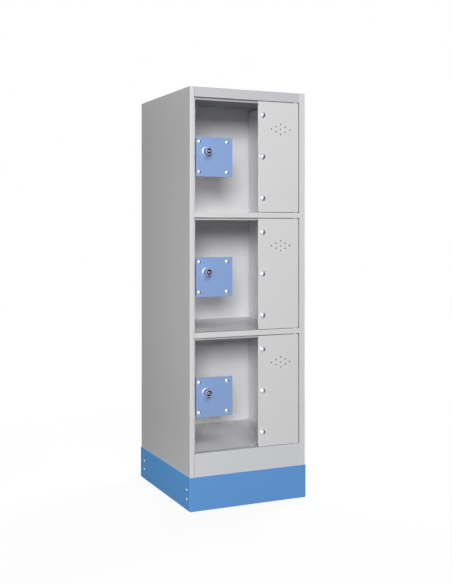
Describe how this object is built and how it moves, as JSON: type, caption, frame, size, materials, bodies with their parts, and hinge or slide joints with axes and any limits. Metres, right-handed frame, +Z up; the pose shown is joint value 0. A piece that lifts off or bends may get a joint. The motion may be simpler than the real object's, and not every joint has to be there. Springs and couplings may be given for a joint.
{
  "type": "three-door locker",
  "caption": "Narrow free-standing steel locker with stacked compartments, clear doors hinged on the right, blue lock plates with key locks, and a blue plinth.",
  "frame": {"origin": "centre of the bounding box's bottom face, on the floor", "axes": "+X to the right along the front, +Y from the front to the back, +Z up"},
  "size_m": [0.406, 0.4724, 1.3],
  "materials": {
    "body_paint": "satin powder coat",
    "plinth_paint": "satin powder coat",
    "plate_paint": "satin powder coat",
    "clear_pane": "clear polished",
    "zinc": "zinc plated",
    "lock_chrome": "polished",
    "plug_metal": "dark nickel",
    "bush_plastic": "moulded"
  },
  "bodies": {
    "root": {"side_panel_left": "body_paint", "side_panel_right": "body_paint", "back_panel": "body_paint", "top_panel": "body_paint", "shelf_upper": "body_paint", "shelf_lower": "body_paint", "bottom_panel": "body_paint", "hinge_bushes": "bush_plastic", "bolt_keepers": "zinc", "plinth_front": "plinth_paint", "plinth_back": "plinth_paint", "plinth_left": "plinth_paint", "plinth_right": "plinth_paint", "plinth_rivets": "zinc", "foot_bolts": "zinc", "foot_nuts": "zinc"},
    "upper_door": {"upper_leaf": "body_paint", "upper_pane": "clear_pane", "upper_backing_strip": "zinc", "upper_pane_bolts": "zinc", "upper_pane_nuts": "zinc", "upper_lock_plate": "plate_paint", "upper_plate_screws": "zinc", "upper_lock_nuts": "zinc", "upper_lock_case": "zinc", "upper_case_cover": "zinc", "upper_lock_barrel": "lock_chrome", "upper_hinge_pins": "zinc"},
    "upper_plug": {"upper_lock_plug": "plug_metal"},
    "upper_bolt": {"upper_lock_bolt": "zinc"},
    "middle_door": {"middle_leaf": "body_paint", "middle_pane": "clear_pane", "middle_backing_strip": "zinc", "middle_pane_bolts": "zinc", "middle_pane_nuts": "zinc", "middle_lock_plate": "plate_paint", "middle_plate_screws": "zinc", "middle_lock_nuts": "zinc", "middle_lock_case": "zinc", "middle_case_cover": "zinc", "middle_lock_barrel": "lock_chrome", "middle_hinge_pins": "zinc"},
    "middle_plug": {"middle_lock_plug": "plug_metal"},
    "middle_bolt": {"middle_lock_bolt": "zinc"},
    "lower_door": {"lower_leaf": "body_paint", "lower_pane": "clear_pane", "lower_backing_strip": "zinc", "lower_pane_bolts": "zinc", "lower_pane_nuts": "zinc", "lower_lock_plate": "plate_paint", "lower_plate_screws": "zinc", "lower_lock_nuts": "zinc", "lower_lock_case": "zinc", "lower_case_cover": "zinc", "lower_lock_barrel": "lock_chrome", "lower_hinge_pins": "zinc"},
    "lower_plug": {"lower_lock_plug": "plug_metal"},
    "lower_bolt": {"lower_lock_bolt": "zinc"}
  },
  "joints": [
    {"name": "upper_hinge", "type": "hinge", "parent": "root", "child": "upper_door", "pos_m": [0.167, -0.20825, 1.09233], "axis": [0, 0, 1], "range_deg": [0, 110]},
    {"name": "upper_key_turn", "type": "hinge", "parent": "upper_door", "child": "upper_plug", "pos_m": [-0.144, -0.21525, 1.102], "axis": [0, -1, 0], "range_deg": [0, 90]},
    {"name": "upper_bolt_slide", "type": "slide", "parent": "upper_door", "child": "upper_bolt", "axis": [-1, 0, 0], "range_m": [0, 0.022]},
    {"name": "middle_hinge", "type": "hinge", "parent": "root", "child": "middle_door", "pos_m": [0.167, -0.20825, 0.722], "axis": [0, 0, 1], "range_deg": [0, 110]},
    {"name": "middle_key_turn", "type": "hinge", "parent": "middle_door", "child": "middle_plug", "pos_m": [-0.144, -0.21525, 0.73167], "axis": [0, -1, 0], "range_deg": [0, 90]},
    {"name": "middle_bolt_slide", "type": "slide", "parent": "middle_door", "child": "middle_bolt", "axis": [-1, 0, 0], "range_m": [0, 0.022]},
    {"name": "lower_hinge", "type": "hinge", "parent": "root", "child": "lower_door", "pos_m": [0.167, -0.20825, 0.35167], "axis": [0, 0, 1], "range_deg": [0, 110]},
    {"name": "lower_key_turn", "type": "hinge", "parent": "lower_door", "child": "lower_plug", "pos_m": [-0.144, -0.21525, 0.36133], "axis": [0, -1, 0], "range_deg": [0, 90]},
    {"name": "lower_bolt_slide", "type": "slide", "parent": "lower_door", "child": "lower_bolt", "axis": [-1, 0, 0], "range_m": [0, 0.022]}
  ],
  "couplings": [
    {"joint": "upper_key_turn", "follows": "upper_bolt_slide", "rad_per_m": 71.39},
    {"joint": "middle_key_turn", "follows": "middle_bolt_slide", "rad_per_m": 71.39},
    {"joint": "lower_key_turn", "follows": "lower_bolt_slide", "rad_per_m": 71.39}
  ]
}
